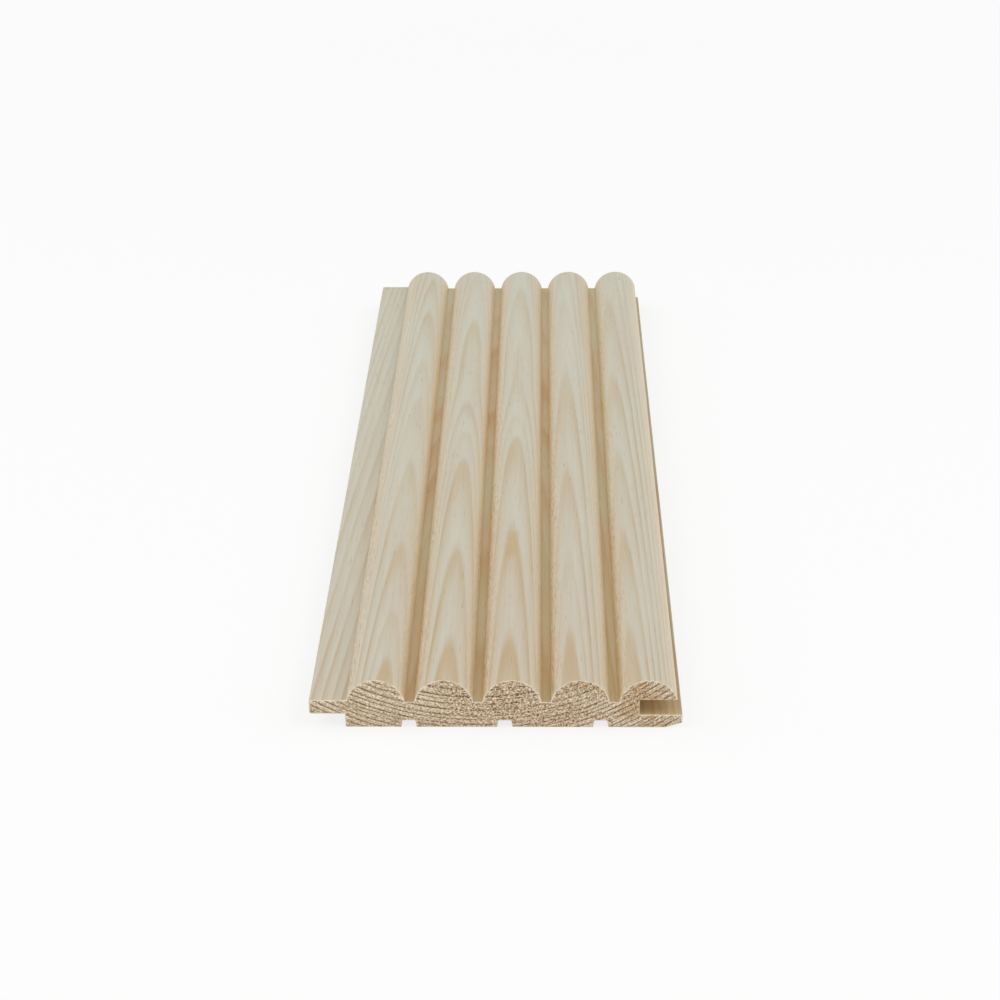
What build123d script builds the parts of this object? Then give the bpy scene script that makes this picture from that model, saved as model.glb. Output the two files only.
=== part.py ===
from build123d import *
import os
from math import radians, sqrt, tan

# One reeded pine panelling board, planed from a single piece of wood.
# Its face carries a row of half-round reeds, its left edge a tongue and its right edge a groove,
# and three relief grooves run along its back. All sizes are in millimetres.
# The section is drawn with x across the board, from the shoulder of the tongue, and y up from the
# back. The finished board lies face up: X runs across it, Y along it and Z up, and its origin is
# the middle of the bottom of its bounding box.

# Overall sizes
board_length = 300.0
board_thickness = 14.0

# Reeds on the face
reed_count = 5
reed_width = 15.2  # from foot to foot, at the floor of the valleys
reed_height = 6.5  # above the floor of the valleys
valley_width = 2.35  # flat floor between two reeds
first_reed_inset = 0.25  # from the shoulder of the tongue to the foot of the first reed
last_reed_margin = 1.1  # from the foot of the last reed to the edge of the lower lip

# Tongue on the left edge
tongue_length = 9.25
tongue_thickness = 4.1
tongue_underside = 3.95  # height above the back
tongue_easing = 0.5  # radius along the tip

# Groove on the right edge, which takes the tongue of the next board
groove_slack = 0.1  # above and below the next board's tongue
groove_tip_room = 1.8  # left free beyond the tip of the next board's tongue
groove_corner = 0.3
lip_nose = 0.5  # thickness of the upper lip where it ends under the last reed
lip_relief_rise = 1.4  # the underside of the lower lip rises towards its edge
lip_relief_run = 4.4
edge_easing = 0.5  # radius along the lower edges of the shoulder and of the lower lip

# Relief grooves in the back
relief_count = 3
relief_first = 16.4  # from the shoulder to the middle of the first groove
relief_pitch = 24.7
relief_depth = 2.0
relief_floor_width = 3.4
relief_side_angle = 8.0  # degrees that each side leans out from upright
relief_corner = 0.4

# How far the cuts run out past the edge they open
cut_overrun = 1.0

# Sizes that follow from these
reed_pitch = reed_width + valley_width
reed_radius = ((reed_width / 2) ** 2 + reed_height**2) / (2 * reed_height)
reed_axis_height = board_thickness - reed_radius
first_reed_middle = first_reed_inset + reed_width / 2
last_reed_middle = first_reed_middle + (reed_count - 1) * reed_pitch
valley_floor = board_thickness - reed_height
cover_width = last_reed_middle + reed_width / 2 + last_reed_margin
tongue_top = tongue_underside + tongue_thickness
groove_bottom = tongue_underside - groove_slack
groove_top = tongue_top + groove_slack
groove_depth = tongue_length + groove_tip_room
nose_top = groove_top + lip_nose
nose_reach = last_reed_middle + sqrt(reed_radius**2 - (nose_top - reed_axis_height) ** 2)
overall_width = tongue_length + cover_width
middle = (cover_width - tongue_length) / 2


def block(left, bottom, right, top):
    """A rectangle in the section, given by its four sides."""
    return Pos((left + right) / 2, (bottom + top) / 2) * Rectangle(right - left, top - bottom)


def rounded(section, places, radius):
    """The section with the corners at these places rounded."""
    corners = [section.vertices().sort_by_distance((x, y, 0))[0] for x, y in places]
    return fillet(corners, radius)


def reeds():
    """The rounded ridges above the floor of the valleys, side by side at one pitch."""
    round_bar = Circle(reed_radius)
    foot = valley_floor - reed_axis_height
    ridge = round_bar & block(-reed_radius, foot, reed_radius, reed_radius)
    middles = [first_reed_middle + n * reed_pitch for n in range(reed_count)]
    places = [Pos(across, reed_axis_height) for across in middles]
    return [place * ridge for place in places]


def tongue():
    """The tongue, drawn on into the first reed, whose round side ends on its upper face."""
    return block(-tongue_length, tongue_underside, first_reed_middle, tongue_top)


def groove():
    """The slot in the right edge, with the space past the nose of the upper lip."""
    outside = cover_width + cut_overrun
    slot = block(cover_width - groove_depth, groove_bottom, outside, groove_top)
    past_nose = block(nose_reach, groove_top, outside, board_thickness)
    return [slot, past_nose]


def lip_relief():
    """The wedge that lifts the edge of the lower lip clear of the wall behind it."""
    return make_face(
        Polyline(
            (cover_width - lip_relief_run, 0),
            (cover_width, 0),
            (cover_width, lip_relief_rise),
            close=True,
        )
    )


def relief_grooves():
    """The shallow grooves in the back, with sides that lean out towards the mouth."""
    half_floor = relief_floor_width / 2
    half_mouth = half_floor + relief_depth * tan(radians(relief_side_angle))
    one = make_face(
        Polyline(
            (-half_mouth, 0),
            (-half_floor, relief_depth),
            (half_floor, relief_depth),
            (half_mouth, 0),
            close=True,
        )
    )
    floor_corners = one.vertices().group_by(Axis.Y)[-1]
    one = fillet(floor_corners, relief_corner)
    return [Pos(relief_first + n * relief_pitch, 0) * one for n in range(relief_count)]


def board_section():
    """The whole section: plank, tongue and reeds, less the groove and the reliefs."""
    plank = block(0, 0, cover_width, valley_floor)
    section = plank + tongue() + reeds() - groove() - lip_relief() - relief_grooves()
    tip = [(-tongue_length, tongue_underside), (-tongue_length, tongue_top)]
    lower_edges = [(0, 0), (cover_width, lip_relief_rise)]
    groove_end = cover_width - groove_depth
    inside = [(groove_end, groove_bottom), (groove_end, groove_top)]
    section = rounded(section, tip, tongue_easing)
    section = rounded(section, lower_edges, edge_easing)
    return rounded(section, inside, groove_corner)


def make_board():
    """The section carried along the length of the board."""
    lying = Plane.XZ * Pos(-middle, 0) * board_section()
    return extrude(lying, board_length / 2, both=True)


board = make_board()
board.label = "board"
os.makedirs("parts", exist_ok=True)
export_step(board, "parts/board.step")
print(f"board {overall_width:.2f} x {board_length:.2f} x {board_thickness:.2f} mm")
print(f"cover width {cover_width:.2f}, reed radius {reed_radius:.3f}, groove depth {groove_depth:.2f}")
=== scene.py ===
import math

import bmesh
import bpy
import numpy as np
from mathutils import Euler, Matrix, Vector, geometry


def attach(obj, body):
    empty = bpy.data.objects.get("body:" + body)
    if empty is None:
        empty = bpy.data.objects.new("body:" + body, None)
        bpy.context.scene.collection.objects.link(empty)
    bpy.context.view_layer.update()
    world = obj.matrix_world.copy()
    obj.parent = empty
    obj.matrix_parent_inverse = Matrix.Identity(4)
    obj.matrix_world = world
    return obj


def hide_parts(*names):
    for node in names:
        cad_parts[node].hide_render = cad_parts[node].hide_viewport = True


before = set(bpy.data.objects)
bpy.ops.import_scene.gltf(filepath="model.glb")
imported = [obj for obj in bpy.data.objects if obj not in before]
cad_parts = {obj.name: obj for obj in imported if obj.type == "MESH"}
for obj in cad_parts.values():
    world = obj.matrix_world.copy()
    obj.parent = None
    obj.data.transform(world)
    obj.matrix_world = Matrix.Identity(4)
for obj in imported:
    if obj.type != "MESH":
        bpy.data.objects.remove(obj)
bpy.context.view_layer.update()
print("frame loaded:", sorted(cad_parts))

mm = 0.001
tiny = 1e-9                # keeps a division away from nought


# small helpers for node trees

def addNode(tree, kind, inputs=None, **props):
    # one node: its properties first, then its inputs, where a socket is linked and anything else
    # is a plain value
    node = tree.nodes.new(kind)
    for name, value in props.items():
        setattr(node, name, value)
    for key, value in (inputs or {}).items():
        if isinstance(value, bpy.types.NodeSocket):
            tree.links.new(value, node.inputs[key])
        else:
            node.inputs[key].default_value = value
    return node


def calc(tree, operation, a, b=0.0, c=0.0, clamp=False):
    return addNode(tree, "ShaderNodeMath", {0: a, 1: b, 2: c}, operation=operation,
                   use_clamp=clamp).outputs[0]


def vec(tree, operation, a, b):
    return addNode(tree, "ShaderNodeVectorMath", {0: a, 1: b}, operation=operation).outputs[0]


def scaleVec(tree, a, factor):
    return addNode(tree, "ShaderNodeVectorMath", {0: a, "Scale": factor},
                   operation="SCALE").outputs[0]


def split(tree, vector):
    return addNode(tree, "ShaderNodeSeparateXYZ", {0: vector}).outputs


def lengthwise(tree, distance):
    # a vector along the board
    return addNode(tree, "ShaderNodeCombineXYZ", {1: distance}).outputs[0]


def remap(tree, value, fromLow, fromHigh, toLow=0.0, toHigh=1.0, smooth=False):
    # a range turned into another, held at its ends
    return addNode(tree, "ShaderNodeMapRange", {
        "Value": value, "From Min": fromLow, "From Max": fromHigh,
        "To Min": toLow, "To Max": toHigh},
        interpolation_type="SMOOTHSTEP" if smooth else "LINEAR").outputs["Result"]


def mixColor(tree, factor, a, b, blend="MIX"):
    return addNode(tree, "ShaderNodeMix", {0: factor, 6: a, 7: b}, data_type="RGBA",
                   blend_type=blend).outputs[2]


def mixValue(tree, factor, a, b):
    return addNode(tree, "ShaderNodeMix", {0: factor, 2: a, 3: b}).outputs[0]


def stretchedNoise(tree, point, density, detail, shift, roughness=0.5):
    # each pattern has its own shift, so that no two of them are alike
    stretched = vec(tree, "MULTIPLY", point, density)
    moved = vec(tree, "ADD", stretched, (shift, shift * 0.7, shift * 1.3))
    return addNode(tree, "ShaderNodeTexNoise", {
        "Vector": moved, "Scale": 1.0, "Detail": detail, "Roughness": roughness}).outputs[0]


def grainNoise(tree, point, across, along, detail, shift, roughness=0.5):
    # noise stretched along the board: across and along are the sizes of its blobs in millimetres
    density = (1 / across, 1 / along, 1 / across)
    return stretchedNoise(tree, point, density, detail, shift, roughness)


def ringNoise(tree, ringwise, around, through, detail, shift):
    # noise stretched around the rings, for a surface that cuts across them
    return stretchedNoise(tree, ringwise, (1 / around, 1.0, 1 / through), detail, shift)


def curveThrough(tree, value, stops, ease="LINEAR"):
    # a value from 0 to 1 turned into another, by pairs of place and height
    node = tree.nodes.new("ShaderNodeValToRGB")
    node.color_ramp.interpolation = ease
    elements = node.color_ramp.elements
    while len(elements) < len(stops):
        elements.new(0.5)
    for element, (place, height) in zip(elements, stops):
        element.position = place
        element.color = (height, height, height, 1.0)
    tree.links.new(value, node.inputs[0])
    return node.outputs[0]


def srgb(red, green, blue):
    # a colour read as 0 to 255 in a picture, as the linear value that a shader wants
    def linear(value):
        value = value / 255
        return value / 12.92 if value <= 0.04045 else ((value + 0.055) / 1.055) ** 2.4
    return (linear(red), linear(green), linear(blue), 1.0)


# the camera, at the photograph's angle

cameraSettings = {
    "place": (0.0120, -0.64383, 0.30627),
    "pitchDown": 26.017,
    "turnLeft": 1.201,
    "roll": -0.535,
    "focalInPixels": 2242.8,
    "pictureWidth": 1000.0,
    "sensor": 36.0,
    "nearest": 0.01,
    "farthest": 50.0,
}


def placeCamera(settings):
    data = bpy.data.cameras.new("photoCamera")
    data.sensor_fit = "HORIZONTAL"
    data.sensor_width = settings["sensor"]
    data.lens = settings["focalInPixels"] / settings["pictureWidth"] * settings["sensor"]
    data.clip_start = settings["nearest"]
    data.clip_end = settings["farthest"]
    camera = bpy.data.objects.new("photoCamera", data)
    bpy.context.scene.collection.objects.link(camera)
    aim = Euler((math.radians(90 - settings["pitchDown"]), 0, math.radians(settings["turnLeft"])))
    turn = aim.to_matrix() @ Matrix.Rotation(math.radians(settings["roll"]), 3, "Z")
    camera.matrix_world = Matrix.Translation(Vector(settings["place"])) @ turn.to_4x4()
    bpy.context.scene.camera = camera


placeCamera(cameraSettings)
print("camera placed")


# the board's section, in millimetres, from the shoulder of the tongue and the back

boardSizes = {
    "length": 300.0,
    "thickness": 14.0,
    "reedCount": 5,
    "reedWidth": 15.2,
    "reedHeight": 6.5,
    "valleyWidth": 2.35,
    "firstReedInset": 0.25,
    "lastReedMargin": 1.1,
    "tongueLength": 9.25,
    "tongueThickness": 4.1,
    "tongueUnderside": 3.95,
    "tongueEasing": 0.5,
    "grooveSlack": 0.1,
    "grooveTipRoom": 1.8,
    "grooveCorner": 0.3,
    "lipNose": 0.5,
    "lipReliefRise": 1.4,
    "lipReliefRun": 4.4,
    "edgeEasing": 0.5,
    "reliefCount": 3,
    "reliefFirst": 16.4,
    "reliefPitch": 24.7,
    "reliefDepth": 2.0,
    "reliefFloorWidth": 3.4,
    "reliefSideAngle": 8.0,
    "reliefCorner": 0.4,
    "arris": 0.1,          # the small rounding that a plane's knife leaves on a sharp edge
    "endRoll": 0.2,        # radius of the worn edge round each sawn end
    "sawDepth": 0.05,
    "sawLinePitch": 1.7,
    "sawLineSlant": 0.35,
    "tornDepth": 0.07,
    "tornSeed": 17.0,
    # how finely it is divided
    "step": 0.42,          # distance between points round the section
    "cornerStep": 0.12,
    "stations": 92,        # rings of points along the board
    "endRollSteps": 3,
    "shelterRays": 48,
    "crispAngle": 42.0,    # degrees between two faces that makes their edge a crisp one
    # the points inside an end face, as shares of their spacing apart from the first
    "endPointSpacing": 0.5,
    "endRowSpacing": 0.87,
    "endPointJitter": 0.12,
    "endPointMargin": 0.75,
    "endPointSeed": 4,
}
frontEnd = -boardSizes["length"] / 2
backEnd = boardSizes["length"] / 2


def roundCorner(before, at, after, radius, step):
    # points of the arc that replaces the corner at between two straight sides
    inward = (Vector(before) - Vector(at)).normalized()
    outward = (Vector(after) - Vector(at)).normalized()
    half = inward.angle(outward) / 2
    reach = radius / math.tan(half)
    centre = Vector(at) + (inward + outward).normalized() * (radius / math.sin(half))
    first = Vector(at) + inward * reach - centre
    last = Vector(at) + outward * reach - centre
    sweep = math.atan2(first.x * last.y - first.y * last.x, first.dot(last))
    count = max(2, int(abs(sweep) * radius / step) + 1)
    turned = [Matrix.Rotation(sweep * i / count, 2) @ first for i in range(count + 1)]
    return [centre + point for point in turned]


def divide(points, step):
    # the same loop with its long sides cut into equal short ones
    dense = []
    for here, there in zip(points, points[1:] + points[:1]):
        count = max(1, round((there - here).length / step))
        dense += [here.lerp(there, i / count) for i in range(count)]
    return dense


def sectionLoop(sizes):
    # the outline, anticlockwise from the shoulder's lower corner
    s = sizes
    pitch = s["reedWidth"] + s["valleyWidth"]
    radius = ((s["reedWidth"] / 2) ** 2 + s["reedHeight"] ** 2) / (2 * s["reedHeight"])
    axis = s["thickness"] - radius
    valley = s["thickness"] - s["reedHeight"]
    middles = [s["firstReedInset"] + s["reedWidth"] / 2 + n * pitch
               for n in range(s["reedCount"])]
    cover = middles[-1] + s["reedWidth"] / 2 + s["lastReedMargin"]
    low = s["tongueUnderside"]
    high = low + s["tongueThickness"]
    slotLow = low - s["grooveSlack"]
    slotHigh = high + s["grooveSlack"]
    slotEnd = cover - s["tongueLength"] - s["grooveTipRoom"]
    noseTop = slotHigh + s["lipNose"]
    nose = middles[-1] + math.sqrt(radius ** 2 - (noseTop - axis) ** 2)
    firstFoot = middles[0] - math.sqrt(radius ** 2 - (high - axis) ** 2)
    halfFloor = s["reliefFloorWidth"] / 2
    halfMouth = halfFloor + s["reliefDepth"] * math.tan(math.radians(s["reliefSideAngle"]))

    corners = [(0.0, 0.0, s["edgeEasing"])]
    for n in range(s["reliefCount"]):
        middle = s["reliefFirst"] + n * s["reliefPitch"]
        corners += [(middle - halfMouth, 0.0, s["arris"]),
                    (middle - halfFloor, s["reliefDepth"], s["reliefCorner"]),
                    (middle + halfFloor, s["reliefDepth"], s["reliefCorner"]),
                    (middle + halfMouth, 0.0, s["arris"])]
    corners += [(cover - s["lipReliefRun"], 0.0, s["arris"]),
                (cover, s["lipReliefRise"], s["edgeEasing"]),
                (cover, slotLow, s["arris"]),
                (slotEnd, slotLow, s["grooveCorner"]),
                (slotEnd, slotHigh, s["grooveCorner"]),
                (nose, slotHigh, s["arris"])]
    tail = [(-s["tongueLength"], high, s["tongueEasing"]),
            (-s["tongueLength"], low, s["tongueEasing"]),
            (0.0, low, 0.0)]

    def rounded(chain, before, after):
        whole = [before] + [c[:2] for c in chain] + [after]
        points = []
        for i, (x, z, r) in enumerate(chain):
            if r:
                points += roundCorner(whole[i], whole[i + 1], whole[i + 2], r, s["cornerStep"])
            else:
                points.append(Vector((x, z)))
        return points

    arcs = []
    for n in reversed(range(s["reedCount"])):
        rightFoot = noseTop if n == s["reedCount"] - 1 else valley
        leftFoot = high if n == 0 else valley
        start = math.asin(rightFoot / radius - axis / radius)
        end = math.pi - math.asin((leftFoot - axis) / radius)
        count = round((end - start) * radius / s["step"])
        turns = [start + (end - start) * i / count for i in range(count + 1)]
        arcs += [Vector((middles[n] + radius * math.cos(t), axis + radius * math.sin(t)))
                 for t in turns]
    loop = rounded(corners, (0.0, low), (nose, noseTop)) + arcs
    loop += rounded(tail, (firstFoot, high), (0.0, 0.0))
    middle = (cover - s["tongueLength"]) / 2
    return divide([Vector((p.x - middle, p.y)) for p in loop], s["step"])


def outwardVectors(loop):
    # at each point, the way out of the wood, longer where the outline turns sharply
    points = np.array(loop)
    along = np.roll(points, -1, 0) - points
    along /= np.linalg.norm(along, axis=1)[:, None]
    out = np.stack([along[:, 1], -along[:, 0]], 1)
    both = out + np.roll(out, 1, 0)
    both /= np.linalg.norm(both, axis=1)[:, None]
    lean = (both * out).sum(1)
    leastLean = 0.6        # so that no corner is moved too far
    return both / np.clip(lean, leastLean, 1.0)[:, None]


def shelterOf(loop, out, rays):
    # at each point, the share of the sky that the rest of the section hides from it
    clearance = 0.02       # a ray starts this far out, so that it doesn't meet its own side
    shortest = 1e-4
    here = np.array(loop)
    there = np.roll(here, -1, 0)
    side = there - here
    start = here + out * clearance
    facing = np.arctan2(out[:, 1], out[:, 0])
    hidden = np.zeros(len(loop))
    total = 0.0
    for n in range(rays):
        turn = math.pi * ((n + 0.5) / rays - 0.5)
        weight = math.cos(turn)
        ray = np.stack([np.cos(facing + turn), np.sin(facing + turn)], 1)
        cross = ray[:, None, 0] * side[None, :, 1] - ray[:, None, 1] * side[None, :, 0]
        cross = np.where(np.abs(cross) < tiny, tiny, cross)
        gap = here[None] - start[:, None]
        reach = (gap[..., 0] * side[None, :, 1] - gap[..., 1] * side[None, :, 0]) / cross
        share = (gap[..., 0] * ray[:, None, 1] - gap[..., 1] * ray[:, None, 0]) / cross
        met = (reach > shortest) & (share >= 0) & (share <= 1)
        hidden += weight * met.any(1)
        total += weight
    return hidden / total


def insideLoop(points, loop):
    # for each point, whether a line to its right crosses the outline an odd number of times
    here = np.array(loop)
    there = np.roll(here, -1, 0)
    px, pz = points[:, :1], points[:, 1:]
    spans = (here[:, 1] > pz) != (there[:, 1] > pz)
    rise = np.where(there[:, 1] == here[:, 1], tiny, there[:, 1] - here[:, 1])
    slope = (there[:, 0] - here[:, 0]) / rise
    crosses = px < here[:, 0] + (pz - here[:, 1]) * slope
    return (spans & crosses).sum(1) % 2 == 1


def makeSection(sizes):
    # a flat triangulated face of the section, drawn with x across and y up
    loop = sectionLoop(sizes)
    out = outwardVectors(loop)
    outline = np.array(loop)
    gap = sizes["endPointSpacing"]
    jitter = sizes["endPointJitter"]
    low, high = outline.min(0), outline.max(0)
    rows = np.arange(low[1] + gap, high[1], gap * sizes["endRowSpacing"])
    grid = [(x + (i % 2) * gap / 2, z) for i, z in enumerate(rows)
            for x in np.arange(low[0], high[0], gap)]
    random = np.random.default_rng(sizes["endPointSeed"])
    grid = np.array(grid) + random.uniform(-jitter, jitter, (len(grid), 2)) * gap
    grid = grid[insideLoop(grid, loop)]
    away = np.array([np.linalg.norm(outline - p, axis=1).min() for p in grid])
    grid = grid[away > gap * sizes["endPointMargin"]]
    points = [Vector(p) for p in outline] + [Vector(p) for p in grid]
    sides = [(i, (i + 1) % len(loop)) for i in range(len(loop))]
    insideOnly = 1         # triangles inside the outline, none outside it
    sameWithin = 1e-7
    verts, _, faces, origins, _, _ = geometry.delaunay_2d_cdt(points, sides, [], insideOnly,
                                                              sameWithin)
    mesh = bpy.data.meshes.new("boardSection")
    mesh.from_pydata([(v.x * mm, v.y * mm, 0.0) for v in verts], [], faces)
    mesh.update()
    if mesh.polygons[0].normal.z < 0:
        mesh.flip_normals()
    # the points of the outline keep what they know of it, and those inside it have none
    source = [o[0] if o else len(points) for o in origins]
    rim = np.array([1.0 if i < len(loop) else 0.0 for i in source], np.float32)
    hidden = shelterOf(loop, out, sizes["shelterRays"])
    shelter = np.array([hidden[i] if i < len(loop) else 0.0 for i in source], np.float32)
    outward = np.zeros((len(verts), 3), np.float32)
    for row, i in enumerate(source):
        if i < len(loop):
            outward[row] = (out[i][0], 0.0, out[i][1])
    mesh.attributes.new("shelter", "FLOAT", "POINT").data.foreach_set("value", shelter)
    mesh.attributes.new("rim", "FLOAT", "POINT").data.foreach_set("value", rim)
    mesh.attributes.new("outward", "FLOAT_VECTOR", "POINT").data.foreach_set(
        "vector", outward.ravel())
    print(f"section: {len(loop)} points round it, {len(faces)} triangles on an end")
    section = bpy.data.objects.new("boardSection", mesh)
    bpy.context.scene.collection.objects.link(section)
    return section


# the wood: one solid pattern of growth rings that every surface of the board cuts through

pineSettings = {
    # the pith runs above the board, a little askew, so its rings open upwards
    "pithAcross": -1.27,   # at mid length
    "pithDrift": 0.0232,   # for each millimetre along
    "pithHeight": 84.53,
    "pithRise": 0.0362,
    "taper": -0.0045,      # of the rings themselves, for each millimetre along
    "ringZero": 79.775,    # the radius that counts as depth 0
    # how far the rings stray from true cones at a place across the board, in front and at the back
    "stray": [
        (-30.9, 0.1, -1.5), (-13.35, -0.2, -0.2), (4.2, -0.3, 0.0), (21.75, -0.3, -0.45),
        (39.3, 0.45, 1.2),
    ],
    "strayRange": 2.0,     # more than the most that they stray either way
    "halfWidth": 48.0,
    # a swelling under the second and third reeds, where the rings crowd and then spread:
    # each pair is across and along the board
    "swellingPlace": (-4.5, 38.0),
    "swellingFlat": (9.0, 0.0),
    "swellingReach": (24.0, 50.0),
    "swellingHeight": 0.85,
    # the depth at which each year's dark wood ends, and how dark it is
    "rings": [
        (-18.6, 0.6), (-16.7, 0.5), (-14.9, 0.6), (-13.1, 0.9), (-11.3, 0.85), (-9.1, 0.8),
        (-8.2, 0.35), (-6.9, 0.65), (-5.1, 0.6), (-3.4, 0.25), (-2.4, 0.4), (-0.9, 0.75),
        (0.1, 0.7), (1.1, 0.55), (2.4, 0.6), (3.8, 0.6), (5.3, 0.5), (6.9, 0.55),
        (8.1, 0.3), (9.4, 0.5), (10.3, 0.4), (11.1, 0.5), (12.2, 0.6), (13.6, 0.6),
        (15.2, 0.5), (16.8, 0.6), (18.4, 0.6),
    ],
    "paleShare": 0.3,      # how far into the next year's growth a ring is counted
    # how far the rings sway, and the noise that they sway by, as grainNoise takes it
    "sways": [
        (0.14, (30.0, 170.0, 1.0, 3.1)),
        (0.14, (4.5, 55.0, 2.0, 7.7)),
        (0.07, (0.7, 40.0, 2.0, 15.0)),
    ],
}


def bentDepth(tree, settings, point, x, y, radius):
    # the depth through the rings, with their taper, stray, swelling and sways
    depth = calc(tree, "MULTIPLY_ADD", y, settings["taper"], radius)
    most = settings["strayRange"]
    half = settings["halfWidth"]
    across = remap(tree, x, -half, half)
    strays = []
    for column in (1, 2):
        # a ramp holds no negative value, so the stray is kept as a share of its range
        stops = [((row[0] + half) / (2 * half), (row[column] + most) / (2 * most))
                 for row in settings["stray"]]
        strays.append(curveThrough(tree, across, stops, "EASE"))
    stray = mixValue(tree, remap(tree, y, frontEnd, backEnd), *strays)
    depth = calc(tree, "MULTIPLY_ADD", stray, 2 * most, depth)
    depth = calc(tree, "SUBTRACT", depth, settings["ringZero"] + most)
    swell = settings["swellingHeight"]
    for value, place, flat, reach in zip((x, y), settings["swellingPlace"],
                                         settings["swellingFlat"], settings["swellingReach"]):
        away = calc(tree, "ABSOLUTE", calc(tree, "SUBTRACT", value, place))
        share = remap(tree, away, flat, reach, 1.0, 0.0, smooth=True)
        swell = calc(tree, "MULTIPLY", share, swell)
    depth = calc(tree, "ADD", depth, swell)
    for size, noise in settings["sways"]:
        sway = calc(tree, "SUBTRACT", grainNoise(tree, point, *noise), 0.5)
        depth = calc(tree, "MULTIPLY_ADD", sway, size * 2, depth)
    return depth


def countYears(tree, settings, depth):
    # the depth counted in years, and the place of each year among them all
    ends = [end for end, _ in settings["rings"]]
    years = len(ends) - 1
    curve = tree.nodes.new("ShaderNodeFloatCurve")
    points = curve.mapping.curves[0].points
    points[0].location = (0.0, 0.0)
    points[1].location = (1.0, 1.0)
    for i in range(1, years):
        points.new((ends[i] - ends[0]) / (ends[-1] - ends[0]), i / years)
    for point in points:
        point.handle_type = "VECTOR"
    curve.mapping.update()
    tree.links.new(remap(tree, depth, ends[0], ends[-1]), curve.inputs["Value"])
    count = calc(tree, "MULTIPLY_ADD", curve.outputs[0], float(years), -settings["paleShare"])
    year = calc(tree, "DIVIDE", calc(tree, "ADD", calc(tree, "FLOOR", count), 0.5), years)
    return count, year


def pineGrainGroup(settings):
    # Season runs from 0 to 1 through each ring, with the end of the dark wood at 1 - paleShare.
    # Flatness is 1 where the rings lie in the surface and 0 where they meet it square.
    # Ringwise is a place told as the distance around the rings, along the board and through them.
    tree = bpy.data.node_groups.new("pineGrain", "ShaderNodeTree")
    for name, kind in (("Point", "NodeSocketVector"), ("Season", "NodeSocketFloat"),
                       ("Darkness", "NodeSocketFloat"), ("Flatness", "NodeSocketFloat"),
                       ("Ringwise", "NodeSocketVector")):
        tree.interface.new_socket(name=name, in_out="OUTPUT", socket_type=kind)
    coordinates = addNode(tree, "ShaderNodeTexCoord").outputs
    point = scaleVec(tree, coordinates["Object"], 1 / mm)
    x, y, z = split(tree, point)
    pithX = calc(tree, "MULTIPLY_ADD", y, settings["pithDrift"], settings["pithAcross"])
    pithZ = calc(tree, "MULTIPLY_ADD", y, settings["pithRise"], settings["pithHeight"])
    side = calc(tree, "SUBTRACT", x, pithX)
    drop = calc(tree, "SUBTRACT", pithZ, z)
    squared = calc(tree, "ADD", calc(tree, "MULTIPLY", side, side),
                   calc(tree, "MULTIPLY", drop, drop))
    radius = calc(tree, "SQRT", squared)
    facing = split(tree, coordinates["Normal"])
    lean = calc(tree, "SUBTRACT", calc(tree, "MULTIPLY", side, facing[0]),
                calc(tree, "MULTIPLY", drop, facing[2]))
    flatness = calc(tree, "ABSOLUTE", calc(tree, "DIVIDE", lean, radius))
    depth = bentDepth(tree, settings, point, x, y, radius)
    around = calc(tree, "MULTIPLY", calc(tree, "ARCTAN2", side, drop), radius)
    ringwise = addNode(tree, "ShaderNodeCombineXYZ", {0: around, 1: y, 2: depth}).outputs[0]
    count, year = countYears(tree, settings, depth)
    rings = settings["rings"][1:]
    shades = [(i / len(rings), dark) for i, (_, dark) in enumerate(rings)]
    output = tree.nodes.new("NodeGroupOutput")
    for name, socket in (("Point", point), ("Season", calc(tree, "FRACT", count)),
                         ("Darkness", curveThrough(tree, year, shades, "CONSTANT")),
                         ("Flatness", flatness), ("Ringwise", ringwise)):
        tree.links.new(socket, output.inputs[name])
    return tree


faceSettings = {
    "springWood": srgb(207, 205, 189),
    "springWoodPink": srgb(207, 196, 177),
    "summerWood": srgb(193, 170, 124),
    "summerWoodPink": srgb(195, 169, 132),
    "ringEdge": srgb(158, 143, 110),
    "resin": srgb(150, 112, 70),
    "fleck": srgb(196, 164, 112),
    "fleckPlace": (3.2, -74.0),
    "fleckSize": (2.1, 11.0),
    "fleckRaggedness": 2.6,
    "fleckStrength": 0.6,
    # painted light on the steep flanks of the reeds
    "paintedFlankLight": srgb(230, 214, 184),
    # painted shade in the valleys and the groove, near the front end, at the back, and in warmer
    # patches
    "valleyShadeNear": (0.955, 0.86, 0.625, 1.0),
    "valleyShadeFar": (1.075, 1.03, 0.885, 1.0),
    "valleyShadeWarm": (1.03, 0.91, 0.85, 1.0),
    "tornPale": srgb(234, 222, 198),
    "tornDark": srgb(160, 134, 100),
    # pale burr with a painted highlight, on the worn edges of the sawn ends
    "burrAndHighlight": srgb(232, 218, 194),
    "roughness": 0.55,
    "specular": 0.28,
    "bumpStrength": 0.5,
    "reliefHeight": 0.03,
    # how dark the wood is through one year, and where a steep ring shows a thin greyish edge
    "summerCurve": [
        (0.0, 0.03), (0.28, 0.30), (0.52, 0.85), (0.64, 1.0), (0.70, 0.82), (0.76, 0.36),
        (0.84, 0.0), (1.0, 0.0),
    ],
    "edgeCurve": [(0.0, 0.0), (0.50, 0.0), (0.62, 1.0), (0.70, 1.0), (0.75, 0.0), (1.0, 0.0)],
    # noises, as grainNoise takes them
    "noises": {
        "patch": (9.0, 70.0, 2.0, 12.0),
        "pinkPatch": (9.0, 110.0, 2.0, 5.0),
        "fleckOutline": (1.2, 6.0, 1.0, 55.0),
        "fibre": (0.40, 34.0, 3.0, 2.0, 0.6),
        "hair": (0.13, 9.0, 1.0, 8.0),
        "resinLine": (0.26, 6.0, 0.0, 21.0),
        "tearing": (5.0, 26.0, 3.0, 40.0),
        "fuzz": (0.34, 3.6, 2.0, 50.0),
        "fuzzTip": (0.40, 1.3, 1.0, 71.0),
        "valleyPatch": (9.0, 32.0, 2.0, 61.0),
    },
}

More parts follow.
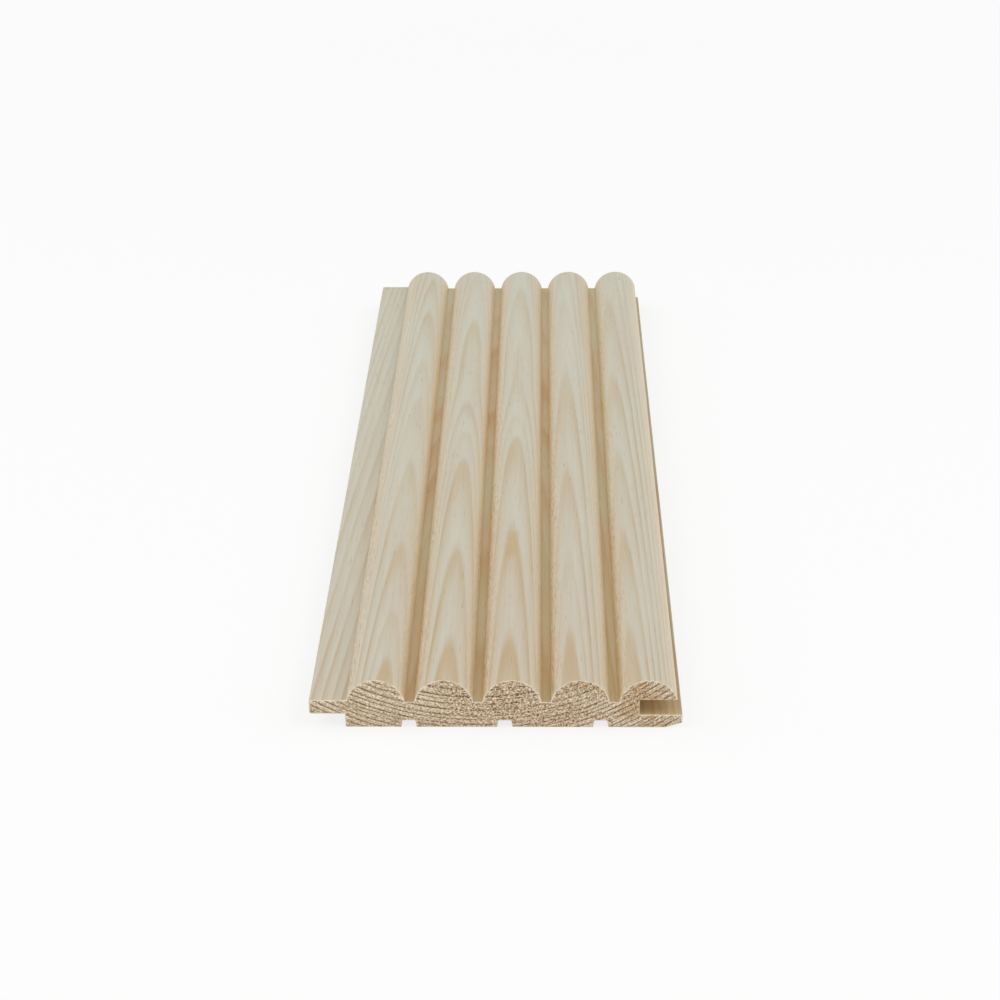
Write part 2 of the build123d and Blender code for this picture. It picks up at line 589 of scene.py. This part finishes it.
endSettings = {
    "springWood": srgb(225, 208, 179),
    "springWoodWarm": srgb(213, 188, 155),
    "summerWood": srgb(106, 80, 55),
    "ochre": srgb(198, 160, 112),
    "pit": srgb(80, 54, 34),
    # cut fibres darken and lighten the wood, less where the saw cut cleanly
    "calmDark": (0.58, 0.545, 0.49, 1.0),
    "calmPale": (1.24, 1.265, 1.33, 1.0),
    "tornDark": (0.40, 0.365, 0.31, 1.0),
    "tornPale": (1.34, 1.375, 1.46, 1.0),
    # pale burr with a painted highlight, on the upper edges and on torn tips
    "burrAndHighlight": srgb(246, 238, 220),
    "roughness": 0.85,
    "specular": 0.15,
    "bumpStrength": 0.7,
    "reliefHeight": 0.16,
    "tornPlace": 6.0,      # across the board, where the saw tore it most
    "summerCurve": [
        (0.0, 0.0), (0.34, 0.05), (0.48, 0.45), (0.57, 1.0), (0.71, 1.0), (0.78, 0.1),
        (0.86, 0.0),
    ],
    # noises, as grainNoise takes them
    "noises": {
        "torn": (7.0, 60.0, 2.0, 6.0),
        "warm": (7.0, 60.0, 2.0, 27.0),
    },
    # and as ringNoise takes them
    "ringNoises": {
        "broken": (0.75, 0.6, 1.0, 9.0),
        "speck": (0.62, 0.42, 1.0, 4.0),
        "pit": (0.55, 0.45, 1.0, 31.0),
        "tip": (0.50, 0.42, 1.0, 77.0),
    },
}


def readAttribute(tree, name):
    return addNode(tree, "ShaderNodeAttribute", attribute_name=name).outputs["Fac"]


def burrAndHighlightShare(tree, point):
    # how much burr and painted highlight: most along the upper edges, which face the light, and in
    # an uneven line
    outward = addNode(tree, "ShaderNodeAttribute", attribute_name="outward").outputs["Vector"]
    upwards = remap(tree, split(tree, outward)[2], -0.3, 0.25, 0.1, 1.0)
    uneven = grainNoise(tree, point, across=1.2, along=1.2, detail=1.0, shift=90.0)
    uneven = remap(tree, uneven, 0.35, 0.6, 0.45, 1.0)
    return calc(tree, "MULTIPLY", upwards, uneven)


def startPine(group, name):
    # a material whose tree already reads the shared grain
    material = bpy.data.materials.new(name)
    material.use_nodes = True
    tree = material.node_tree
    grain = tree.nodes.new("ShaderNodeGroup")
    grain.node_tree = group
    return material, tree, tree.nodes["Principled BSDF"], grain.outputs


def addBump(tree, shader, height, look):
    bump = addNode(tree, "ShaderNodeBump", {
        "Strength": look["bumpStrength"], "Distance": look["reliefHeight"] * mm,
        "Height": height})
    tree.links.new(bump.outputs[0], shader.inputs["Normal"])


def fleckShare(tree, look, across, length, ragged):
    # a small ochre fleck with a soft ragged outline
    squares = []
    for value, place, size in zip((across, length), look["fleckPlace"], look["fleckSize"]):
        away = calc(tree, "DIVIDE", calc(tree, "SUBTRACT", value, place), size)
        squares.append(calc(tree, "MULTIPLY", away, away))
    raggedness = look["fleckRaggedness"]
    away = calc(tree, "MULTIPLY_ADD", ragged, raggedness, calc(tree, "ADD", *squares))
    return remap(tree, away, raggedness, 0.9, 0.0, look["fleckStrength"], smooth=True)


def planedPine(group, look):
    # the planed surfaces, where the rings lie almost flat and show as soft arches
    material, tree, shader, grain = startPine(group, "planedPine")
    point = grain["Point"]
    across, length, _ = split(tree, point)
    facing = split(tree, addNode(tree, "ShaderNodeTexCoord").outputs["Normal"])
    noise = {name: grainNoise(tree, point, *size) for name, size in look["noises"].items()}
    # dark wood in patches, strongest at the front end
    patch = remap(tree, noise["patch"], 0.35, 0.65, 0.5, 1.0)
    patch = calc(tree, "ADD", patch, remap(tree, length, frontEnd, -110.0, 0.5, 0.0), clamp=True)
    patch = calc(tree, "MULTIPLY", patch, remap(tree, length, 0.0, backEnd, 1.0, 0.8))
    summer = curveThrough(tree, grain["Season"], look["summerCurve"])
    summer = calc(tree, "MULTIPLY", summer, calc(tree, "MULTIPLY", grain["Darkness"], patch))
    # pinker towards the front end, and in long patches elsewhere
    near = remap(tree, length, frontEnd, 40.0, 0.55, 0.0)
    pink = remap(tree, noise["pinkPatch"], 0.42, 0.64, 0.0, 0.6)
    tint = calc(tree, "ADD", near, pink, clamp=True)
    spring = mixColor(tree, tint, look["springWood"], look["springWoodPink"])
    late = mixColor(tree, tint, look["summerWood"], look["summerWoodPink"])
    color = mixColor(tree, summer, spring, late)
    # where a ring meets the surface steeply, its edge is a thin greyish line
    edge = curveThrough(tree, grain["Season"], look["edgeCurve"])
    edge = calc(tree, "MULTIPLY", edge, remap(tree, grain["Flatness"], 0.94, 0.76, 0.0, 0.25))
    edge = calc(tree, "MULTIPLY", edge, calc(tree, "MULTIPLY_ADD", patch, 1.4, -0.5, clamp=True))
    color = mixColor(tree, edge, color, look["ringEdge"])
    fleck = fleckShare(tree, look, across, length, noise["fleckOutline"])
    color = mixColor(tree, fleck, color, look["fleck"])
    # fine fibres, then a few short resin lines
    fibres = calc(tree, "MULTIPLY_ADD", noise["hair"], 0.5, noise["fibre"])
    streak = remap(tree, fibres, 0.55, 0.95, 0.95, 1.04)
    color = mixColor(tree, 1.0, color, streak, "MULTIPLY")
    canal = remap(tree, noise["resinLine"], 0.74, 0.82, 0.0, 0.35)
    color = mixColor(tree, canal, color, look["resin"])
    # painted light: a paler tone on the steep flanks of the reeds, most of all low on the right
    # ones
    upwards = remap(tree, facing[2], 0.02, 0.15)
    lowRight = remap(tree, facing[0], 0.78, 0.95)
    steep = remap(tree, calc(tree, "ABSOLUTE", facing[0]), 0.35, 0.80, 0.0, 0.36)
    steep = calc(tree, "MULTIPLY_ADD", lowRight, 0.26, steep)
    color = mixColor(tree, calc(tree, "MULTIPLY", steep, upwards), color, look["paintedFlankLight"])
    # torn fibres along the flanks, worst on the left
    leftFlank = remap(tree, facing[0], -0.50, -0.90)
    rightFlank = remap(tree, facing[0], 0.60, 0.95, 0.0, 0.5)
    flank = calc(tree, "MULTIPLY", calc(tree, "ADD", leftFlank, rightFlank), upwards)
    where = remap(tree, noise["tearing"], 0.40, 0.62, 0.15, 0.9)
    where = calc(tree, "ADD", where, remap(tree, length, frontEnd, 60.0, 0.4, 0.0))
    flank = calc(tree, "MULTIPLY", flank, where)
    tips = remap(tree, noise["fuzzTip"], 0.60, 0.72)
    pale = calc(tree, "ADD", remap(tree, noise["fuzz"], 0.52, 0.66, 0.0, 0.55), tips, clamp=True)
    pale = calc(tree, "MULTIPLY", pale, flank, clamp=True)
    dark = remap(tree, noise["fuzz"], 0.46, 0.34, 0.0, 0.6)
    dark = calc(tree, "MULTIPLY", dark, flank, clamp=True)
    # painted shade: a warmer, mostly darker colour in the valleys and groove, by how much sky they
    # hide
    shelter = readAttribute(tree, "shelter")
    deepShade = remap(tree, shelter, 0.35, 0.62, 0.0, 0.95, smooth=True)
    eased = remap(tree, calc(tree, "MULTIPLY", lowRight, upwards), 0.0, 1.0, 1.0, 0.6)
    deepShade = calc(tree, "MULTIPLY", deepShade, eased)
    valley = calc(tree, "MULTIPLY", remap(tree, shelter, 0.28, 0.37),
                  remap(tree, facing[2], 0.80, 0.97))
    paintedShade = calc(tree, "MAXIMUM", deepShade, valley)
    fromFront = remap(tree, length, frontEnd, backEnd)
    tone = mixColor(tree, fromFront, look["valleyShadeNear"], look["valleyShadeFar"])
    warmShadeTone = mixColor(tree, 1.0, tone, look["valleyShadeWarm"], "MULTIPLY")
    tone = mixColor(tree, remap(tree, noise["valleyPatch"], 0.40, 0.60), tone, warmShadeTone)
    color = mixColor(tree, paintedShade, color, mixColor(tree, 1.0, color, tone, "MULTIPLY"))
    color = mixColor(tree, dark, color, look["tornDark"])
    color = mixColor(tree, pale, color, look["tornPale"])
    # pale burr at the sawn ends, with a painted highlight along their upper edges
    roll = remap(tree, readAttribute(tree, "roll"), 0.1, 1.2)
    roll = calc(tree, "MULTIPLY", roll, burrAndHighlightShare(tree, point))
    color = mixColor(tree, roll, color, look["burrAndHighlight"])
    tree.links.new(color, shader.inputs["Base Color"])
    rough = remap(tree, noise["fibre"], 0.3, 0.7, look["roughness"] - 0.06,
                  look["roughness"] + 0.08)
    tree.links.new(rough, shader.inputs["Roughness"])
    shader.inputs["Specular IOR Level"].default_value = look["specular"]
    height = calc(tree, "MULTIPLY_ADD", summer, 0.35, noise["fibre"])
    height = calc(tree, "MULTIPLY_ADD", noise["hair"], 0.4, height)
    tufts = calc(tree, "MULTIPLY", noise["fuzz"], flank)
    addBump(tree, shader, calc(tree, "MULTIPLY_ADD", tufts, 3.0, height), look)
    return material


def sawnEnd(group, look):
    # the sawn ends, rough, with every ring as a thin dark line
    material, tree, shader, grain = startPine(group, "sawnEnd")
    point = grain["Point"]
    across = split(tree, point)[0]
    noise = {name: grainNoise(tree, point, *size) for name, size in look["noises"].items()}
    noise |= {name: ringNoise(tree, grain["Ringwise"], *size)
              for name, size in look["ringNoises"].items()}
    # the middle of the board is torn more, so its rings break up into dots
    away = calc(tree, "ABSOLUTE", calc(tree, "SUBTRACT", across, look["tornPlace"]))
    middle = remap(tree, away, 10.0, 36.0, 0.64, 0.36)
    torn = calc(tree, "ADD", middle, calc(tree, "SUBTRACT", noise["torn"], 0.5))
    torn = remap(tree, torn, 0.32, 0.72)
    broken = remap(tree, noise["broken"], 0.42, 0.58, 0.0, 0.9)
    broken = mixValue(tree, torn, 1.0, broken)
    summer = curveThrough(tree, grain["Season"], look["summerCurve"])
    strength = remap(tree, grain["Darkness"], 0.2, 0.9, 0.70, 0.92)
    summer = calc(tree, "MULTIPLY", summer, calc(tree, "MULTIPLY", strength, broken))
    # the wood is more resinous towards the grooved edge
    ground = mixColor(tree, torn, look["springWood"], look["springWoodWarm"])
    warm = remap(tree, noise["warm"], 0.40, 0.62, 0.0, 0.8)
    warm = calc(tree, "MULTIPLY", warm, remap(tree, across, 10.0, 40.0, 0.2, 1.0))
    ground = mixColor(tree, warm, ground, look["ochre"])
    color = mixColor(tree, summer, ground, look["summerWood"])
    # cut fibres, pits between them and torn tips that catch the light
    lift = remap(tree, noise["speck"], 0.34, 0.66)
    calm = mixColor(tree, lift, look["calmDark"], look["calmPale"])
    rough = mixColor(tree, lift, look["tornDark"], look["tornPale"])
    color = mixColor(tree, 1.0, color, mixColor(tree, torn, calm, rough), "MULTIPLY")
    pit = remap(tree, noise["pit"], 0.58, 0.68, 0.0, 0.8)
    pit = calc(tree, "MULTIPLY", pit, remap(tree, torn, 0.0, 1.0, 0.15, 1.0))
    color = mixColor(tree, pit, color, look["pit"])
    tip = remap(tree, noise["tip"], 0.58, 0.68, 0.0, 0.9)
    tip = calc(tree, "MULTIPLY", tip, remap(tree, torn, 0.0, 1.0, 0.55, 1.0))
    color = mixColor(tree, tip, color, look["burrAndHighlight"])
    # a pale burr with a painted highlight along the upper edges
    rim = remap(tree, readAttribute(tree, "rim"), 0.42, 0.85)
    rim = calc(tree, "MULTIPLY", rim, burrAndHighlightShare(tree, point))
    color = mixColor(tree, rim, color, look["burrAndHighlight"])
    tree.links.new(color, shader.inputs["Base Color"])
    shader.inputs["Roughness"].default_value = look["roughness"]
    shader.inputs["Specular IOR Level"].default_value = look["specular"]
    height = calc(tree, "MULTIPLY_ADD", summer, -0.6, noise["speck"])
    addBump(tree, shader, calc(tree, "MULTIPLY_ADD", pit, -0.8, height), look)
    return material


grainGroup = pineGrainGroup(pineSettings)
planedMaterial = planedPine(grainGroup, faceSettings)
endMaterial = sawnEnd(grainGroup, endSettings)
print("pine materials made")


# the board: its section carried along its length

def storedValue(tree, name, kind):
    return addNode(tree, "GeometryNodeInputNamedAttribute", {"Name": name},
                   data_type=kind).outputs[0]


def boardTree(sizes):
    # the section on a flat face becomes the board: its outline swept, and itself as both ends
    tree = bpy.data.node_groups.new("carrySection", "GeometryNodeTree")
    tree.interface.new_socket(name="Geometry", in_out="INPUT", socket_type="NodeSocketGeometry")
    for name, kind in (("Length", "NodeSocketFloat"), ("Stations", "NodeSocketInt"),
                       ("End Roll", "NodeSocketFloat"), ("Roll Steps", "NodeSocketInt"),
                       ("Saw Depth", "NodeSocketFloat"), ("Torn Depth", "NodeSocketFloat"),
                       ("Seed", "NodeSocketFloat"),
                       ("Planed", "NodeSocketMaterial"), ("Sawn", "NodeSocketMaterial")):
        tree.interface.new_socket(name=name, in_out="INPUT", socket_type=kind)
    tree.interface.new_socket(name="Geometry", in_out="OUTPUT", socket_type="NodeSocketGeometry")
    given = tree.nodes.new("NodeGroupInput").outputs
    halfLength = calc(tree, "MULTIPLY", given["Length"], 0.5)
    quarterTurn = math.pi / 2
    mergeDistance = 2e-6

    # the rail, with its last few stations close together for the worn edge of each end
    start = lengthwise(tree, calc(tree, "MULTIPLY", halfLength, -1.0))
    end = lengthwise(tree, halfLength)
    line = addNode(tree, "GeometryNodeCurvePrimitiveLine", {"Start": start, "End": end})
    rail = addNode(tree, "GeometryNodeResampleCurve",
                   {"Curve": line.outputs[0], "Count": given["Stations"]}).outputs[0]
    index = tree.nodes.new("GeometryNodeInputIndex").outputs[0]
    lastIndex = calc(tree, "SUBTRACT", given["Stations"], 1.0)
    fromFar = calc(tree, "SUBTRACT", lastIndex, index)
    nearest = calc(tree, "MINIMUM", index, fromFar)
    left = calc(tree, "SUBTRACT", given["Roll Steps"], nearest)
    roll = calc(tree, "MULTIPLY", calc(tree, "DIVIDE", left, given["Roll Steps"], clamp=True),
                quarterTurn)
    straight = calc(tree, "SUBTRACT", halfLength, given["End Roll"])
    even = remap(tree, index, given["Roll Steps"],
                 calc(tree, "SUBTRACT", lastIndex, given["Roll Steps"]),
                 calc(tree, "MULTIPLY", straight, -1.0), straight)
    sign = calc(tree, "SIGN", calc(tree, "SUBTRACT", index, fromFar))
    extra = calc(tree, "MULTIPLY", calc(tree, "SINE", roll), given["End Roll"])
    station = calc(tree, "MULTIPLY_ADD", sign, extra, even)
    rail = addNode(tree, "GeometryNodeSetPosition", {
        "Geometry": rail, "Position": lengthwise(tree, station)}).outputs[0]
    rail = addNode(tree, "GeometryNodeStoreNamedAttribute", {
        "Geometry": rail, "Name": "roll", "Value": roll},
        data_type="FLOAT", domain="POINT").outputs[0]

    # the outline of the section, swept along the rail
    faces = addNode(tree, "GeometryNodeInputMeshEdgeNeighbors").outputs[0]
    border = addNode(tree, "FunctionNodeCompare", {2: faces, 3: 1},
                     data_type="INT", operation="EQUAL").outputs[0]
    outline = addNode(tree, "GeometryNodeMeshToCurve",
                      {"Mesh": given["Geometry"], "Selection": border}).outputs[0]
    profile = addNode(tree, "GeometryNodeTransform", {
        "Geometry": outline, "Rotation": (math.pi, 0.0, 0.0)}).outputs[0]
    sides = addNode(tree, "GeometryNodeCurveToMesh",
                    {"Curve": rail, "Profile Curve": profile}).outputs[0]

    # the two sawn ends
    endFace = addNode(tree, "GeometryNodeStoreNamedAttribute", {
        "Geometry": given["Geometry"], "Name": "roll", "Value": quarterTurn},
        data_type="FLOAT", domain="POINT").outputs[0]
    endFace = addNode(tree, "GeometryNodeStoreNamedAttribute", {
        "Geometry": endFace, "Name": "sawn", "Value": True},
        data_type="BOOLEAN", domain="FACE").outputs[0]
    front = addNode(tree, "GeometryNodeTransform", {
        "Geometry": endFace, "Translation": start,
        "Rotation": (quarterTurn, 0.0, 0.0)}).outputs[0]
    back = addNode(tree, "GeometryNodeTransform", {
        "Geometry": endFace, "Translation": end, "Rotation": (quarterTurn, 0.0, 0.0)}).outputs[0]
    back = addNode(tree, "GeometryNodeFlipFaces", {"Mesh": back}).outputs[0]
    joined = tree.nodes.new("GeometryNodeJoinGeometry")
    for part in (back, front, sides):
        tree.links.new(part, joined.inputs[0])
    whole = addNode(tree, "GeometryNodeMergeByDistance",
                    {"Geometry": joined.outputs[0], "Distance": mergeDistance}).outputs[0]

    # worn end edges, saw lines and torn fibres
    position = tree.nodes.new("GeometryNodeInputPosition").outputs[0]
    spot = split(tree, position)
    seeded = addNode(tree, "ShaderNodeCombineXYZ", {0: given["Seed"]}).outputs[0]
    field = vec(tree, "ADD", scaleVec(tree, position, 1 / mm), seeded)
    ragged = addNode(tree, "ShaderNodeTexNoise",
                     {"Vector": field, "Scale": 1.1, "Detail": 2.0}).outputs[0]
    torn = addNode(tree, "ShaderNodeTexNoise",
                   {"Vector": field, "Scale": 1.5, "Detail": 3.0, "Roughness": 0.7}).outputs[0]
    rim = storedValue(tree, "rim", "FLOAT")
    rolled = storedValue(tree, "roll", "FLOAT")
    outward = storedValue(tree, "outward", "FLOAT_VECTOR")
    inset = calc(tree, "SUBTRACT", 1.0, calc(tree, "COSINE", rolled))
    inset = calc(tree, "MULTIPLY", inset, given["End Roll"])
    inset = calc(tree, "MULTIPLY", inset, remap(tree, ragged, 0.3, 0.7, 0.7, 1.25))
    inset = calc(tree, "MULTIPLY", inset, calc(tree, "MULTIPLY", rim, -1.0))
    slant = calc(tree, "MULTIPLY_ADD", spot[2], sizes["sawLineSlant"], spot[0])
    turns = calc(tree, "MULTIPLY", slant, 2 * math.pi / (sizes["sawLinePitch"] * mm))
    wave = calc(tree, "SINE", turns)
    cut = calc(tree, "MULTIPLY", remap(tree, wave, -1.0, 1.0), given["Saw Depth"])
    cut = calc(tree, "MULTIPLY_ADD", remap(tree, torn, 0.3, 0.7), given["Torn Depth"], cut)
    # a high power of the roll keeps the cut to the end face itself
    atEnd = calc(tree, "POWER", calc(tree, "SINE", rolled), 12.0)
    cut = calc(tree, "MULTIPLY", cut, atEnd)
    inwards = calc(tree, "MULTIPLY", calc(tree, "SIGN", spot[1]), -1.0)
    moved = lengthwise(tree, calc(tree, "MULTIPLY", cut, inwards))
    offset = vec(tree, "ADD", scaleVec(tree, outward, inset), moved)
    whole = addNode(tree, "GeometryNodeSetPosition",
                    {"Geometry": whole, "Offset": offset}).outputs[0]

    # smooth shading, but crisp where two faces meet at a sharp angle
    whole = addNode(tree, "GeometryNodeSetShadeSmooth",
                    {"Geometry": whole, "Shade Smooth": True}, domain="FACE").outputs[0]
    angle = tree.nodes.new("GeometryNodeInputMeshEdgeAngle").outputs[0]
    crisp = addNode(tree, "FunctionNodeCompare",
                    {0: angle, 1: math.radians(sizes["crispAngle"])},
                    data_type="FLOAT", operation="GREATER_THAN").outputs[0]
    whole = addNode(tree, "GeometryNodeSetShadeSmooth", {
        "Geometry": whole, "Selection": crisp, "Shade Smooth": False},
        domain="EDGE").outputs[0]
    whole = addNode(tree, "GeometryNodeRealizeInstances", {"Geometry": whole}).outputs[0]
    sawn = storedValue(tree, "sawn", "BOOLEAN")
    whole = addNode(tree, "GeometryNodeSetMaterial",
                    {"Geometry": whole, "Material": given["Planed"]}).outputs[0]
    whole = addNode(tree, "GeometryNodeSetMaterial", {
        "Geometry": whole, "Selection": sawn, "Material": given["Sawn"]}).outputs[0]
    output = tree.nodes.new("NodeGroupOutput")
    tree.links.new(whole, output.inputs[0])
    return tree


def settle(holder, name):
    # the modifier's result as a plain mesh object at the origin, its faces all pointing outwards
    graph = bpy.context.evaluated_depsgraph_get()
    mesh = bpy.data.meshes.new_from_object(holder.evaluated_get(graph))
    mesh.name = name
    shell = bmesh.new()
    shell.from_mesh(mesh)
    bmesh.ops.recalc_face_normals(shell, faces=shell.faces)
    openEdges = sum(1 for edge in shell.edges if len(edge.link_faces) != 2)
    print(f"{name}: {len(shell.faces)} faces, {openEdges} open edges,",
          f"{shell.calc_volume(signed=True) / mm ** 3:.0f} cubic mm")
    shell.to_mesh(mesh)
    shell.free()
    piece = bpy.data.objects.new(name, mesh)
    bpy.context.scene.collection.objects.link(piece)
    old = holder.data
    bpy.data.objects.remove(holder)
    bpy.data.meshes.remove(old)
    return piece


def makeBoard(sizes):
    section = makeSection(sizes)
    tree = boardTree(sizes)
    modifier = section.modifiers.new("carrySection", "NODES")
    modifier.node_group = tree
    values = {
        "Length": sizes["length"] * mm,
        "Stations": sizes["stations"],
        "End Roll": sizes["endRoll"] * mm,
        "Roll Steps": sizes["endRollSteps"],
        "Saw Depth": sizes["sawDepth"] * mm,
        "Torn Depth": sizes["tornDepth"] * mm,
        "Seed": sizes["tornSeed"],
        "Planed": planedMaterial,
        "Sawn": endMaterial,
    }
    for item in tree.interface.items_tree:
        if item.in_out == "INPUT" and item.name in values:
            modifier[item.identifier] = values[item.name]
    return settle(section, "reededBoard")


reededBoard = makeBoard(boardSizes)
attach(reededBoard, "root")
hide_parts("board")


# floor, world and lights

white = (1.0, 1.0, 1.0, 1.0)
studio = {
    "floorColor": srgb(253, 253, 252),
    "floorHalfWidth": 3.0,
    "floorRoughness": 0.9,
    "floorSpecular": 0.1,
    "floorGlow": 0.78,     # the share of plain white in the floor that the camera sees
    # between these distances that share rises to 1, so that no far edge shows
    "glowReach": (0.35, 1.2),
    "worldLight": 0.33,
    "lampsAimAt": (0.0, 0.0, 0.01),
    "lamps": {
        "leftBox": {"place": (-1.0, -0.05, 0.92), "size": 1.4, "power": 9.5},
        "rightBox": {"place": (1.0, -0.05, 0.92), "size": 1.4, "power": 9.5},
        "frontFill": {"place": (0.0, -1.5, 0.50), "size": 0.8, "power": 5.2},
    },
}


def seenDirectly(tree):
    # 1 for what the camera sees itself, or in a mirror or through glass
    path = addNode(tree, "ShaderNodeLightPath").outputs
    seen = calc(tree, "ADD", path["Is Camera Ray"], path["Is Glossy Ray"])
    return calc(tree, "ADD", seen, path["Is Transmission Ray"], clamp=True)


def makeFloor(settings):
    size = settings["floorHalfWidth"]
    mesh = bpy.data.meshes.new("studioFloor")
    mesh.from_pydata([(-size, -size, 0), (size, -size, 0), (size, size, 0), (-size, size, 0)],
                     [], [(0, 1, 2, 3)])
    floor = bpy.data.objects.new("studioFloor", mesh)
    bpy.context.scene.collection.objects.link(floor)
    material = bpy.data.materials.new("paleFloor")
    material.use_nodes = True
    tree = material.node_tree
    shader = tree.nodes["Principled BSDF"]
    shader.inputs["Base Color"].default_value = settings["floorColor"]
    shader.inputs["Roughness"].default_value = settings["floorRoughness"]
    shader.inputs["Specular IOR Level"].default_value = settings["floorSpecular"]
    glow = addNode(tree, "ShaderNodeEmission", {"Color": white, "Strength": 1.0})
    spot = addNode(tree, "ShaderNodeTexCoord").outputs["Object"]
    away = addNode(tree, "ShaderNodeVectorMath", {0: spot}, operation="LENGTH").outputs["Value"]
    share = remap(tree, away, *settings["glowReach"], settings["floorGlow"], 1.0, smooth=True)
    share = calc(tree, "MULTIPLY", seenDirectly(tree), share)
    mix = addNode(tree, "ShaderNodeMixShader",
                  {0: share, 1: shader.outputs[0], 2: glow.outputs[0]})
    tree.links.new(mix.outputs[0], tree.nodes["Material Output"].inputs["Surface"])
    mesh.materials.append(material)


def makeWorld(settings):
    world = bpy.data.worlds.new("studioWorld")
    world.use_nodes = True
    bpy.context.scene.world = world
    tree = world.node_tree
    background = tree.nodes["Background"]
    background.inputs["Color"].default_value = white
    background.inputs["Strength"].default_value = settings["worldLight"]
    plain = addNode(tree, "ShaderNodeBackground", {"Color": white, "Strength": 1.0})
    mix = addNode(tree, "ShaderNodeMixShader",
                  {0: seenDirectly(tree), 1: background.outputs[0], 2: plain.outputs[0]})
    tree.links.new(mix.outputs[0], tree.nodes["World Output"].inputs["Surface"])


def addLamp(name, settings, target):
    lamp = bpy.data.lights.new(name, "AREA")
    lamp.shape = "SQUARE"
    lamp.size = settings["size"]
    lamp.energy = settings["power"]
    holder = bpy.data.objects.new(name, lamp)
    bpy.context.scene.collection.objects.link(holder)
    place = Vector(settings["place"])
    aim = (Vector(target) - place).to_track_quat("-Z", "Y")
    holder.matrix_world = Matrix.Translation(place) @ aim.to_matrix().to_4x4()


makeFloor(studio)
makeWorld(studio)
for lampName, lampSettings in studio["lamps"].items():
    addLamp(lampName, lampSettings, studio["lampsAimAt"])
bpy.context.scene.view_settings.view_transform = "Standard"
print("studio made")
